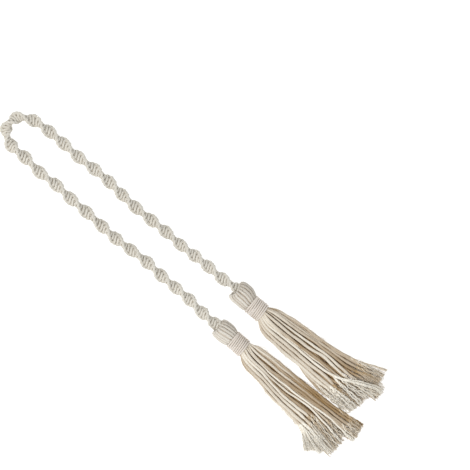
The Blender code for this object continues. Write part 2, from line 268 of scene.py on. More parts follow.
TOP_YARNS_A = (
    Strand((34.6, 35.8, 36.2, 37.4, 39.4, 42.4, 46.4, 52.5, 57.8), (2.6, 2.8, 2.8, 1.7),
           (-0.6, -0.6, -0.3, 0.0), 104, 132, (-0.1, 0.1, 0.0, -0.2), 0.8),
    Strand((33.0, 34.6, 35.6, 36.8, 38.2, 40.6, 43.8, 48.2, 51.6), (2.6, 3.0, 3.0, 3.3),
           (-1.3, -0.2, 0.0, 0.0), 104, 133, (-0.6, 0.0, -0.1, -0.45), 0.8),
    Strand((31.3, 32.8, 33.6, 35.0, 36.6, 37.7, 40.0, 44.6, 48.6), (2.8, 2.8, 3.0, 3.4),
           (0.0, 0.0, 0.1, 0.3), 106, 133, (0.1, 0.0, -0.2, -0.8), 0.7),
    Strand((29.6, 30.5, 31.6, 33.3, 33.6, 34.4, 35.8, 40.7, 44.5), (3.2, 3.2, 3.2, 3.4),
           (0.3, 0.2, 0.2, 0.2), 108, 133, (0.6, 0.0, -0.5, -0.9), 0.7),
    Strand((26.7, 27.1, 28.0, 29.4, 30.4, 30.5, 29.8, 30.6, 33.2), (2.0, 2.9, 3.5, 3.2),
           (0.0, 0.3, 0.0, 0.0), 104, 142, (0.0, 0.6, 0.4, -0.5)),
    Strand((23.3, 23.4, 24.0, 24.8, 27.7, 26.2, 26.0, 27.4, 29.4), (3.3, 3.7, 3.5, 3.0),
           (0.2, 0.2, 0.5, 0.0), 98, 140, (0.4, 0.4, 0.7, 0.5)),
    Strand((19.4, 19.5, 20.2, 20.8, 22.0, 21.7, 21.6, 21.8, 24.0), (3.6, 3.3, 3.2, 3.0),
           (0.2, 0.0, 0.0, 0.0), 96, 133, (0.6, -0.6, -0.6, 0.8)),
    Strand((17.8, 18.2, 18.8, 19.0, 19.6, 19.8, 17.0, 16.5, 15.6), (2.3, 2.5, 2.6, 3.4),
           (-0.2, -0.3, -0.4, 0.0), 98, 133, (1.0, 0.8, 0.6, 1.0)),
    Strand((15.9, 16.7, 16.7, 16.6, 16.9, 18.1, 23.0, 30.6, 37.4), (3.1, 3.1, 2.8, 3.2),
           (0.1, 0.3, 1.6, 3.8), 93, 142, (0.8, 0.9, 0.9, 0.9), 0.9),
    Strand((12.9, 13.0, 12.9, 12.8, 13.0, 13.6, 11.9, 12.0, 12.2), (3.8, 4.5, 4.1, 2.8),
           (0.2, 0.2, 0.0, -1.6), 97, 130, (0.7, 0.4, 0.6, -0.7)),
    Strand((10.2, 9.3, 8.9, 9.2, 8.7, 8.4, 9.2, 9.2, 8.8), (3.6, 4.4, 4.2, 3.8),
           (0.0, 0.0, 0.0, 0.2), 97, 132, (0.5, 0.4, 0.5, 0.6)),
    Strand((7.0, 6.0, 5.4, 5.8, 5.4, 5.0, 5.8, 5.2, 4.6), (3.6, 4.4, 4.4, 3.8),
           (0.2, 0.1, 0.1, 0.3), 92, 132, (0.2, 0.7, 0.8, 0.7)),
    Strand((8.4, 7.2, 6.6, 5.7, 3.7, 2.3, 2.0, 2.2, 2.4), (2.8, 3.0, 4.2, 2.8),
           (-2.4, -2.0, -0.6, 0.0), 103, 131, (0.6, 0.3, -0.5, 0.2)),
    Strand((9.0, 8.0, 7.2, 5.3, 1.4, -0.9, -1.0, -0.6, -0.2), (2.2, 2.2, 2.6, 2.2),
           (-3.0, -2.4, 0.0, 0.0), 99, 124, (0.6, 0.4, -0.2, 0.5)),
)

TOP_YARNS_B = (
    Strand((-7.9, -6.8, -6.4, -6.2, -5.7, -5.1, -4.5, -3.4, -1.4), (2.6, 2.8, 3.1, 3.4),
           (-0.5, -0.5, -0.3, 0.0), 122, 140, (0.8, 0.7, -1.2, -1.3)),
    Strand((-8.9, -7.9, -7.8, -7.6, -7.2, -7.4, -7.1, -6.1, -4.4), (2.8, 2.9, 3.0, 3.4),
           (0.1, 0.2, 0.0, 0.0), 124, 141, (0.8, 0.2, -1.1, -0.8)),
    Strand((-12.9, -12.9, -12.8, -12.1, -11.3, -10.6, -10.2, -9.4, -8.4), (3.2, 3.0, 3.0, 3.4),
           (0.3, 0.0, 0.0, 0.0), 126, 141, (0.7, 0.3, -0.6, -0.5)),
    Strand((-16.9, -17.2, -16.3, -15.4, -14.6, -14.0, -13.4, -12.8, -13.6), (3.2, 3.2, 3.2, 3.2),
           (0.2, -0.1, -0.3, -0.1), 122, 143, (0.6, -0.5, -0.6, -0.2)),
    Strand((-17.4, -18.0, -18.0, -17.4, -16.6, -15.4, -14.6, -14.6, -15.8), (2.0, 2.6, 2.4, 3.0),
           (-1.8, -0.6, -0.4, 0.0), 124, 143, (0.3, -0.4, -0.5, -0.2)),
    Strand((-18.0, -19.2, -19.7, -19.0, -18.7, -17.3, -15.9, -16.1, -18.0), (2.0, 2.4, 2.6, 2.2),
           (-1.6, 0.3, 0.4, 0.6), 126, 143, (0.6, 1.0, 1.0, 0.9)),
    Strand((-20.4, -20.6, -21.2, -20.6, -20.4, -19.2, -19.2, -20.2, -22.8), (2.0, 2.0, 2.4, 3.2),
           (-2.4, -2.0, -1.2, -0.6), 108, 132, (0.2, 0.2, 0.4, -0.3)),
    Strand((-21.2, -21.9, -22.9, -22.9, -21.2, -20.5, -22.3, -24.4, -26.6), (3.3, 2.4, 2.4, 2.1),
           (0.2, 0.0, 0.2, 0.7), 112, 133, (0.6, 0.4, 1.0, 0.9)),
    Strand((-22.4, -23.3, -25.2, -26.2, -25.6, -24.9, -25.9, -28.2, -31.0), (2.0, 2.2, 4.0, 3.4),
           (-2.0, -0.6, -0.6, 0.0), 92, 134, (0.3, -0.6, -0.6, -0.2)),
    Strand((-23.7, -24.3, -26.8, -28.7, -28.4, -28.1, -29.2, -31.8, -34.8), (3.8, 2.9, 3.8, 3.4),
           (0.2, 0.4, 0.0, 0.0), 90, 136, (0.9, 0.8, 0.7, -0.4)),
    Strand((-26.6, -27.8, -29.9, -31.4, -32.0, -32.2, -32.8, -35.4, -38.6), (4.1, 3.5, 3.6, 3.4),
           (0.2, 0.2, 0.1, 0.0), 90, 135, (0.8, 0.2, 0.9, 0.1), 0.8),
    Strand((-29.6, -30.8, -33.2, -35.0, -36.1, -36.4, -37.4, -39.6, -42.4), (3.2, 3.6, 4.2, 3.8),
           (0.0, 0.2, 0.0, 0.2), 92, 133, (-0.2, 0.4, 0.4, 0.9), 0.9),
    Strand((-31.3, -32.3, -36.0, -37.3, -37.9, -39.4, -42.2, -45.6, -49.0), (2.6, 2.6, 2.8, 3.8),
           (-0.6, -0.4, 0.0, 0.3), 92, 126, (-0.4, 0.1, 0.1, 1.0), 0.9),
    Strand((-29.8, -31.4, -35.0, -36.6, -37.4, -40.6, -46.0, -53.0, -59.0), (2.2, 2.2, 2.6, 3.4),
           (-2.4, -2.0, -0.6, 0.0), 92, 117, (0.6, 0.5, 0.5, 1.0), 0.9),
    Strand((-29.0, -31.0, -34.6, -36.4, -37.6, -41.2, -48.6, -62.0, -75.0), (2.0, 2.0, 2.2, 2.8),
           (-3.0, -2.4, -1.0, 0.0), 94, 113, (0.6, 0.6, 0.5, 1.0), 0.9),
)

TASSELS = {
    "a": Tassel(
        neck=(69.5, 21.2),
        heading=math.radians(0.5),
        drop=math.radians(2.0),
        height=10.75,
        head_radius=12.0,
        head_dip=2.8,
        head_length=1.03,
        head_sway=1.5,
        head_yarns=19,
        head_phase=math.radians(79.5),
        head_skew=0.0,
        head_tones=((-1.0, 0.3), (-0.4, 0.3), (-0.1, 0.1), (0.25, 0.4), (0.5, -0.1), (1.0, -0.1)),
        wrap_radius=10.3,
        fan=(
            (0.0, -9.0, 9.6), (8.0, -15.0, 12.0), (18.0, -17.2, 15.3), (28.0, -16.7, 17.0),
            (45.0, -18.3, 18.0), (63.0, -16.5, 19.5), (73.0, -20.0, 20.0), (88.0, -21.7, 22.0),
            (103.0, -21.3, 26.0), (118.0, -21.4, 28.6), (142.0, -20.6, 31.6),
        ),
        under_tones=((0.0, 0.4), (0.2, -0.3), (1.0, -0.25)),
        under_combed=((0.0, 0.3), (0.6, 0.1), (0.8, 0.8)),
        tips=(
            (0.0, 121.0), (0.07, 128.0), (0.16, 132.0), (0.26, 133.5), (0.48, 133.0),
            (0.52, 142.0), (0.80, 142.0), (0.85, 132.5), (1.0, 132.0),
        ),
        strands=TOP_YARNS_A,
    ),
    "b": Tassel(
        neck=(78.2, -17.55),
        heading=0.0,
        drop=math.radians(1.2),
        height=9.9,
        head_radius=11.0,
        head_dip=1.2,
        head_length=0.93,
        head_sway=0.3,
        head_yarns=18,
        head_phase=math.radians(98.2),
        head_skew=-0.0163,
        head_tones=((-1.0, 0.3), (-0.3, 0.3), (0.0, 0.4), (0.3, 0.3), (0.6, 0.1), (1.0, -0.05)),
        wrap_radius=9.8,
        fan=(
            (0.0, -8.2, 8.6), (5.0, -11.8, 10.8), (11.0, -14.8, 11.9), (20.0, -15.7, 12.6),
            (35.0, -16.9, 13.0), (45.0, -20.9, 13.1), (60.0, -21.4, 13.4), (77.0, -23.2, 13.8),
            (95.0, -26.2, 14.5), (110.0, -37.4, 15.5), (120.0, -41.0, 16.4), (142.0, -43.0, 18.6),
        ),
        under_tones=((0.0, 0.7), (0.12, 0.3), (0.3, 0.0), (0.6, -0.6), (1.0, -0.9)),
        under_combed=((0.0, 0.9), (0.3, 0.7), (0.45, 0.1), (1.0, 0.2)),
        tips=(
            (0.0, 114.0), (0.22, 124.0), (0.28, 134.5), (0.57, 133.5), (0.60, 132.0),
            (0.66, 132.0), (0.69, 141.0), (1.0, 141.0),
        ),
        strands=TOP_YARNS_B,
    ),
}


def smooth(share):
    """From 0 to 1 with an easy start and end."""
    share = np.clip(share, 0.0, 1.0)
    return share * share * (3 - 2 * share)


def mix(first, second, share):
    return first + (second - first) * share


def column(table, index):
    return np.array([row[index] for row in table], dtype=float)


def read(table, at, index):
    """A column of a table whose first column rises, read in straight lines between its rows."""
    return np.interp(at, column(table, 0), column(table, index))


def soften(values, reach):
    """Rounds the corners of values read from a table, over so many of them on each side."""
    if reach < 1:
        return values
    window = np.hanning(2 * reach + 3)[1:-1]
    padded = np.concatenate([np.full(reach, values[0]), values, np.full(reach, values[-1])])
    eased = np.convolve(padded, window / window.sum(), "valid")
    eased[0], eased[-1] = values[0], values[-1]
    return eased


def extended(points):
    """Points with one more before the first and one more after the last, straight on."""
    return np.concatenate([[2 * points[0] - points[1]], points, [2 * points[-1] - points[-2]]])


def bend(before, here, there, after, t):
    """The smooth curve from here to there, on its way from before to after."""
    return 0.5 * (
        2 * here
        + (there - before) * t
        + (2 * before - 5 * here + 4 * there - after) * t**2
        + (3 * here - before - 3 * there + after) * t**3
    )


def through(points, parts=6):
    """A smooth curve through points, in so many parts from one to the next."""
    points = np.asarray(points, dtype=float)
    run = extended(points)
    t = (np.arange(parts) / parts)[None, :, None]
    curve = bend(*(run[k : len(run) - 3 + k, None, :] for k in range(4)), t)
    return np.concatenate([curve.reshape(-1, points.shape[1]), points[-1:]])


def evenly(points, count):
    """The same curve with so many points, evenly spaced."""
    steps = np.linalg.norm(np.diff(points[:, :3], axis=0), axis=1)
    far = np.concatenate([[0.0], np.cumsum(steps)])
    at = np.linspace(0.0, far[-1], count)
    return np.stack([np.interp(at, far, points[:, k]) for k in range(points.shape[1])], axis=1)


def length_of(points):
    return float(np.linalg.norm(np.diff(points[:, :3], axis=0), axis=1).sum())


def unit(vectors):
    return vectors / np.maximum(np.linalg.norm(vectors, axis=-1, keepdims=True), 1e-9)


def wander(generator, at, reach, wavelength):
    """A slow uneven wave for each of several strands, as thread lies when nothing pulls it straight."""
    count = at.shape[0]
    total = np.zeros_like(at)
    for share in (1.0, 0.62, 0.37):
        phase = generator.uniform(0, math.tau, (count, 1))
        stretch = generator.uniform(0.8, 1.25, (count, 1))
        total += share * np.sin(math.tau * at / (wavelength * share * stretch) + phase)
    return reach * total / 1.3


class Bundle:
    """Strands that are laid as arrays of points and joined in one mesh."""

    def __init__(self):
        self.points, self.quads, self.ends = [], [], []
        self.quad_uvs, self.end_uvs, self.tones, self.depths = [], [], [], []
        self.count = 0

    def lay(
        self, paths, thickness, relief=0.0, ply_turn=0.0, tones=0.0, depths=0.0, phase=0.0, sides=STRAND_SIDES
    ):
        """Adds closed tubes along paths of equal point counts, ridged by their plies where these turn."""
        paths = np.asarray(paths, dtype=float)
        strands, n, _ = paths.shape
        radii = np.broadcast_to(np.asarray(thickness, dtype=float) / 2, (strands, n))
        tangent = unit(np.gradient(paths, axis=1))
        side = np.empty_like(paths)
        start = tangent[:, 0]
        axis = np.where(np.abs(start[:, 2:3]) < 0.9, np.array([[0.0, 0.0, 1.0]]), np.array([[0.0, 1.0, 0.0]]))
        side[:, 0] = unit(np.cross(axis, start))
        for k in range(1, n):
            carried = side[:, k - 1]
            lean = (carried * tangent[:, k]).sum(axis=1, keepdims=True)
            side[:, k] = unit(carried - lean * tangent[:, k])
        up = np.cross(tangent, side)
        steps = np.linalg.norm(np.diff(paths, axis=1), axis=2)
        far = np.concatenate([np.zeros((strands, 1)), np.cumsum(steps, axis=1)], axis=1)
        turn = math.tau * far / ply_turn if ply_turn else np.zeros_like(far)
        turn = turn + np.asarray(phase).reshape(-1, 1)
        k = np.arange(sides)
        around = math.tau * k / sides
        angle = around[None, None, :] + turn[:, :, None]
        ridge = 1 - relief * (0.5 - 0.5 * np.cos(PLIES * around))
        reach = radii[:, :, None] * ridge[None, None, :]
        ring = (
            paths[:, :, None, :]
            + (reach * np.cos(angle))[..., None] * side[:, :, None, :]
            + (reach * np.sin(angle))[..., None] * up[:, :, None, :]
        )
        near_pole = paths[:, 0] - tangent[:, 0] * radii[:, :1] * 0.5
        far_pole = paths[:, -1] + tangent[:, -1] * radii[:, -1:] * 0.5
        poles = np.stack([near_pole, far_pole], axis=1)
        made = np.concatenate([ring.reshape(strands, n * sides, 3), poles], axis=1)
        made[..., 2] = np.maximum(made[..., 2], SURFACE_CLEARANCE)
        self.points.append(made.reshape(-1, 3))

        # the faces: quads from ring to ring, and a fan of triangles round each pole
        following = (k + 1) % sides
        first = self.count + made.shape[1] * np.arange(strands)[:, None, None]
        rings = first + sides * np.arange(n)[None, :, None]
        here, there = rings[:, :-1], rings[:, 1:]
        faces = np.stack([here + k, here + following, there + following, there + k], axis=-1)
        self.quads.append(faces.reshape(-1, 4))
        pole = np.broadcast_to(first[:, 0] + n * sides, (strands, sides))
        near_end = np.stack([pole, rings[:, 0] + following, rings[:, 0] + k], axis=-1)
        far_end = np.stack([pole + 1, rings[:, -1] + k, rings[:, -1] + following], axis=-1)
        self.ends.append(np.concatenate([near_end, far_end], axis=1).reshape(-1, 3))
        self.count += strands * made.shape[1]

        # the first coordinate goes round the strand, the second along it, in centimetres
        u, next_u, v = np.broadcast_arrays(k / sides, (k + 1) / sides, far[:, :, None] / 10)
        u_run, next_u_run = u[:, 1:], next_u[:, 1:]
        corners = (u_run, v[:, :-1], next_u_run, v[:, :-1], next_u_run, v[:, 1:], u_run, v[:, 1:])
        self.quad_uvs.append(np.stack(corners, axis=-1).reshape(-1, 2))
        end_uvs = np.stack([u[:, [0, -1]], v[:, [0, -1]]], axis=-1).reshape(-1, 2)
        self.end_uvs.append(np.repeat(end_uvs, 3, axis=0))

        for values, kept in ((tones, self.tones), (depths, self.depths)):
            spread = np.asarray(values, dtype=float)
            if spread.ndim < 2:
                spread = spread.reshape(-1, 1)
            spread = np.broadcast_to(spread, (strands, n))
            each = np.repeat(spread, sides, axis=1)
            kept.append(np.concatenate([each, spread[:, :1], spread[:, -1:]], axis=1).ravel())

    def piece(self, name, material, slot, node):
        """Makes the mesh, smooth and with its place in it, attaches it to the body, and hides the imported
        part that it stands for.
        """
        points = np.concatenate(self.points) * MM
        quads, ends = np.concatenate(self.quads), np.concatenate(self.ends)
        mesh = bpy.data.meshes.new(name)
        corners = np.concatenate([quads.ravel(), ends.ravel()]).astype(np.int32)
        starts = np.concatenate([4 * np.arange(len(quads)), 4 * len(quads) + 3 * np.arange(len(ends))])
        mesh.vertices.add(len(points))
        mesh.vertices.foreach_set("co", points.astype(np.float32).ravel())
        mesh.loops.add(len(corners))
        mesh.loops.foreach_set("vertex_index", corners)
        mesh.polygons.add(len(starts))
        mesh.polygons.foreach_set("loop_start", starts.astype(np.int32))
        mesh.update(calc_edges=True)
        layer = mesh.uv_layers.new(name="along_the_strand")
        uvs = np.concatenate([np.concatenate(self.quad_uvs), np.concatenate(self.end_uvs)])
        layer.data.foreach_set("uv", uvs.astype(np.float32).ravel())
        for title, values in (("tone", self.tones), ("depth", self.depths)):
            kept = mesh.attributes.new(title, "FLOAT", "POINT")
            kept.data.foreach_set("value", np.concatenate(values).astype(np.float32))
        mesh.validate()
        mesh.shade_smooth()
        mesh.materials.append(material)
        made = bpy.data.objects.new(name, mesh)
        bpy.context.scene.collection.objects.link(made)
        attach(made, BODY)
        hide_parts(node)


def route(at):
    """The cord's centre at lobes counted along the table of lobes."""
    run = extended(np.array([(x, y, CORD_HEIGHT + rise) for x, y, rise in LOBES]))
    at = np.asarray(at, dtype=float)
    index = np.clip(np.floor(at).astype(int), 0, len(LOBES) - 2)
    return bend(*(run[index + k] for k in range(4)), (at - index)[:, None])


def band_place(at, across, thick):
    """Points of the knotted band: it turns right-handed, by half a turn every lobe."""
    centre = route(at)
    tangent = unit(route(at + 0.02) - route(at - 0.02))
    level = unit(np.cross(np.array([[0.0, 0.0, 1.0]]), tangent))
    up = np.cross(tangent, level)
    turn = math.pi * at
    wide = np.cos(turn)[:, None] * level + np.sin(turn)[:, None] * up
    narrow = np.cos(turn)[:, None] * up - np.sin(turn)[:, None] * level
    return centre + across[:, None] * wide + thick[:, None] * narrow


def lie_on_table(points, radius):
    """A strand that would reach below the table is pressed up from it, softly."""
    lowest = SURFACE_CLEARANCE + PRESSED * radius
    below = points[..., 2] - lowest
    eased = np.where(below < -1.0, 0.0, (below + 1.0) ** 2 / 4)
    points[..., 2] = lowest + np.where(below > 1.0, below, eased)
    return points


def working_strings(generator, reach, depth, radius):
    """Both working strings through all the half knots."""
    first = math.floor((CORD_START - CORD_TAIL) * KNOTS_PER_LOBE)
    last = math.ceil((CORD_STOP + CORD_TAIL) * KNOTS_PER_LOBE)
    knots = np.arange(first, last + 1)
    rows = np.array(HALF_KNOT)
    tension = {key: generator.normal(0, spread, len(knots) + 2) for key, spread in KNOT_UNEVENNESS}
    knot_at = np.arange(-1, len(knots) + 1) + first
    paths = []
    for string in (0, 1):
        sign = np.where((knots + string) % 2, -1.0, 1.0)[:, None]
        own = 1 + generator.normal(0, STRING_UNEVENNESS, len(knots))[:, None]
        at = (knots[:, None] + rows[None, :, 2]).ravel() / KNOTS_PER_LOBE
        across = (sign * rows[None, :, 0] * own).ravel()
        thick = (sign * rows[None, :, 1] * own).ravel()
        loose = {key: np.interp(at * KNOTS_PER_LOBE, knot_at, values) for key, values in tension.items()}
        from_end = np.minimum(at - CORD_START, CORD_STOP - at)
        size = mix(END_SHARE, 1.0, smooth(from_end))
        across = across * reach * size * (1 + loose["across"])
        thick = thick * depth * size * (1 + loose["thick"])
        at = at + loose["along"] / KNOTS_PER_LOBE
        paths.append(lie_on_table(through(band_place(at, across, thick)), radius))
    return paths


def filler_strings(radius):
    """Both fillers, side by side through the middle of the band."""
    at = np.arange(CORD_START - CORD_TAIL, CORD_STOP + CORD_TAIL, 0.04)
    return [
        lie_on_table(band_place(at, np.full(len(at), side * FILLER_OFFSET), np.zeros(len(at))), radius)
        for side in (-1, 1)
    ]


def axis_frame(tassel):
    """A tassel's axis: where the binding's upper end is, and the directions along, across and up."""
    heading, drop = tassel.heading, tassel.drop
    along = np.array(
        [math.cos(heading) * math.cos(drop), math.sin(heading) * math.cos(drop), -math.sin(drop)]
    )
    across = np.array([-math.sin(heading), math.cos(heading), 0.0])
    return np.array([*tassel.neck, tassel.height]), along, across, np.cross(along, across)


def round_axis(tassel, along, reach, angle):
    """Points at a distance along a tassel's axis, out from it and round it."""
    origin, forward, across, up = axis_frame(tassel)
    sway = tassel.head_sway * smooth(-along / SWAY_LENGTH)
    return (
        origin
        + along[..., None] * forward
        + (sway + reach * np.cos(angle))[..., None] * across
        + (reach * np.sin(angle))[..., None] * up
    )


def head_paths(tassel, generator, thickness, inward, half_step):
    """The folded yarns round a head, from beside the cord to under the binding."""
    rows = through(np.array(HEAD_YARN), 5)
    count = tassel.head_yarns
    step = math.tau / count
    angle = tassel.head_phase + (np.arange(count) + half_step) * step
    angle = angle + generator.normal(0, HEAD_PLAY["turn"], count) * step
    along = np.broadcast_to(rows[:, 0], (count, len(rows)))
    along = np.where(along < 0, along * tassel.head_length, along)
    swell = generator.normal(0, HEAD_PLAY["reach"], (count, 1))
    swell = swell * smooth((along + 20) / 4) * smooth(-along / 5)
    reach = rows[None, :, 1] * (tassel.head_radius - thickness / 2) - inward + swell
    on_top = np.maximum(np.sin(angle), 0)[:, None]
    rim = generator.normal(0, HEAD_PLAY["rim"], (count, 1)) - tassel.head_dip * on_top**2
    rim = rim * smooth((-14 - along) / 4)
    turn = angle[:, None] + tassel.head_skew * (along + 10.5)
    turn = turn + wander(generator, along, 0.012, 14.0)
    points = round_axis(tassel, along - rim + inward * smooth((-15 - along) / 3), reach, turn)
    points[..., 2] = np.maximum(points[..., 2], 0.8 * thickness / 2)
    # painted shade: the yarns are lighter on the side toward the key light and darker on the far side, with
    # some unevenness of their own
    tones = read(tassel.head_tones, np.cos(angle), 1) + generator.normal(0, HEAD_PLAY["tone"], count)
    widths = thickness * rows[None, :, 2] * (1 + generator.normal(0, HEAD_PLAY["width"], (count, 1)))
    return points, widths, tones


def binding_path(tassel, generator, turns, string):
    """The string round the neck: its turns lie side by side, and both its ends are tucked under them."""
    count = int(turns * WRAP_POINTS)
    turned = np.linspace(0, turns, count)
    pitch = (WRAP_LENGTH - string) / (turns - 1)
    along = string / 2 + pitch * np.clip(turned - 0.5, 0, turns - 1)
    share = turned / turns
    angle = math.tau * turned + WRAP_BEGINS
    slant = WRAP_SLANT * np.sin(math.pi * share)
    reach = np.full(count, tassel.wrap_radius - string / 2)
    play = np.interp(turned, np.arange(turns + 1), generator.normal(0, WRAP_PLAY["along"], turns + 1))
    bumps = generator.normal(0, WRAP_PLAY["out"], 3 * turns + 1)
    reach = reach + np.interp(turned * 3, np.arange(3 * turns + 1), bumps)
    for from_end in (turned, turns - turned):
        reach = reach - WRAP_TUCK * (1 - smooth(from_end / TUCK_TURNS))
    along = along + play * np.sin(math.pi * share) - slant * reach * np.cos(angle)
    return lie_on_table(round_axis(tassel, along, reach, angle), string / 2)


def neck_height(tassel):
    """The height of a tassel's axis at the binding's lower end."""
    return tassel.height - math.sin(tassel.drop) * WRAP_LENGTH


def let_wander(generator, paths, tassel, across, up):
    """Lets yarns wander, more and more as they leave the binding, by a reach and a wavelength each way."""
    at = paths[..., 0]
    free = smooth((at - tassel.neck[0] - WRAP_LENGTH) / 40)
    for axis, (reach, wavelength) in ((1, across), (2, up)):
        paths[..., axis] += wander(generator, at, reach, wavelength) * free


def skirt_top(tassel, generator):
    """The yarns that lie on top, along the lines of their table: where, how thick and how light they are."""
    x, y = tassel.neck
    strands = tassel.strands
    ring = tassel.wrap_radius - NECK_RADIUS_INSIDE
    count = len(strands)
    angles = np.radians(np.linspace(*ROOT_SPAN, count)) + generator.normal(0, ROOT_PLAY, count)
    stations = (0.0, LEFT_NECK, *STATIONS)
    edges = [float(read(tassel.fan, STATIONS[-3], k)) + y for k in (1, 2)]
    paths, widths, tones = [], [], []
    for strand, angle in zip(strands, angles):
        line = strand.line
        share = float(np.interp(line[-3], edges, (0.0, 1.0)))
        s = np.linspace(-TUCKED_IN, strand.ends, SKIRT_POINTS)
        root = y + ring * math.cos(angle)
        bends = through(np.stack([stations, (root, mix(root, line[0], LEFT_SHARE), *line)], axis=1), 8)
        across = np.interp(s, bends[:, 0], bends[:, 1])
        crown = TOP_FLOOR - EDGE_FALL * abs(2 * share - 1) ** 3
        height = mix(neck_height(tassel) + ring * math.sin(angle), crown, smooth(s / SETTLED_AT))
        height = height + smooth(s / 10) * np.interp(s, QUARTERS, strand.rise)
        paths.append(np.stack([x + WRAP_LENGTH + s, soften(across, 6), soften(height, 8)], axis=1))
        widths.append(np.interp(s, QUARTERS, strand.width) * mix(NECK_SHARE, 1.0, smooth((s + 2) / 14)))
        tones.append(np.interp(s, QUARTERS, strand.tones))
    paths = np.array(paths)
    let_wander(generator, paths, tassel, *TOP_WANDER)
    return paths, np.array(widths), np.array(tones)


def skirt_under(tassel, generator):
    """The yarns below the top ones, fanned evenly in rows."""
    x, y = tassel.neck
    paths, tones, combed, buried = [], [], [], []
    for row, (yarns, half_width, rise, floor) in enumerate(UNDER_ROWS):
        stagger = ROW_STAGGER if row % 2 else -ROW_STAGGER
        for index in range(yarns):
            share = (index + 0.5 + stagger + generator.uniform(-ROW_PLAY, ROW_PLAY)) / yarns
            if index in (0, yarns - 1):
                share = OUTERMOST if index == 0 else 1 - OUTERMOST
            tip = float(read(tassel.tips, share, 1)) + generator.normal(*TIP_PLAY)
            s = np.linspace(-TUCKED_IN, tip, SKIRT_POINTS)
            low, high = (read(tassel.fan, s, k) for k in (1, 2))
            fan = soften(mix(low + FAN_MARGIN, high - FAN_MARGIN, share), 7)
            neck = half_width * (2 * index / (yarns - 1) - 1)
            across = mix(neck, fan, smooth(s / FANS_WITHIN))
            height = mix(neck_height(tassel) + rise, floor, smooth(s / SETTLED_AT))
            paths.append(np.stack([x + WRAP_LENGTH + s, y + across, height], axis=1))
            # painted shade: the lower yarns are lighter at the edge toward the key light and darker toward
            # the far edge, and the inner ones are painted darker as buried
            far_tone = float(read(tassel.under_tones, share, 1))
            tones.append(mix(mix(*UNDER_NEAR_TONES, share), far_tone, smooth(s / UNDER_TONES_FROM)))
            combed.append(float(read(tassel.under_combed, share, 1)))
            buried.append(smooth((0.4 - abs(share - 0.5)) / 0.25))
    paths = np.array(paths)
    let_wander(generator, paths, tassel, *UNDER_WANDER)
    return paths, np.array(tones), combed, np.array(buried)


class Opening(NamedTuple):
    """How a yarn comes apart."""

    ply_turn: float
    spread: float
    crimp: float
    fibre: float


def lay_skirt(skirt, ends, generator, strands, opens, combed, depths, yarn, opening, fibres, steps):
    """Lays yarns up to where they open, and their loose fibres from there to the cut."""
    paths, widths, tones = strands
    widths = widths * (1 + wander(generator, paths[..., 0], *YARN_SWELL))
    lie_on_table(paths, widths / 2)
    tones = tones + generator.normal(0, YARN_TONE_PLAY, (len(paths), 1))
    rows = np.concatenate([paths, widths[..., None], tones[..., None]], axis=2)
    cuts = (np.asarray(opens) * SKIRT_POINTS).astype(int)
    laid = np.array([evenly(row[: cut + OPENING_OVERLAP], YARN_STEPS) for row, cut in zip(rows, cuts)])
    thinned = 1 - THINNED * smooth((np.linspace(0, 1, YARN_STEPS) - THINS_FROM) / THINS_OVER)
    phase = generator.uniform(0, math.tau, len(paths))
    ply_turn = yarn.ply_turn / MM
    skirt.lay(laid[..., :3], laid[..., 3] * thinned, yarn.ply_relief, ply_turn, laid[..., 4], depths, phase)
    locks = [row[cut:, :3] for row, cut in zip(rows, cuts)]
    opened_yarns(ends, generator, locks, widths[:, -1], tones[:, -1], combed, depths, opening, fibres, steps)


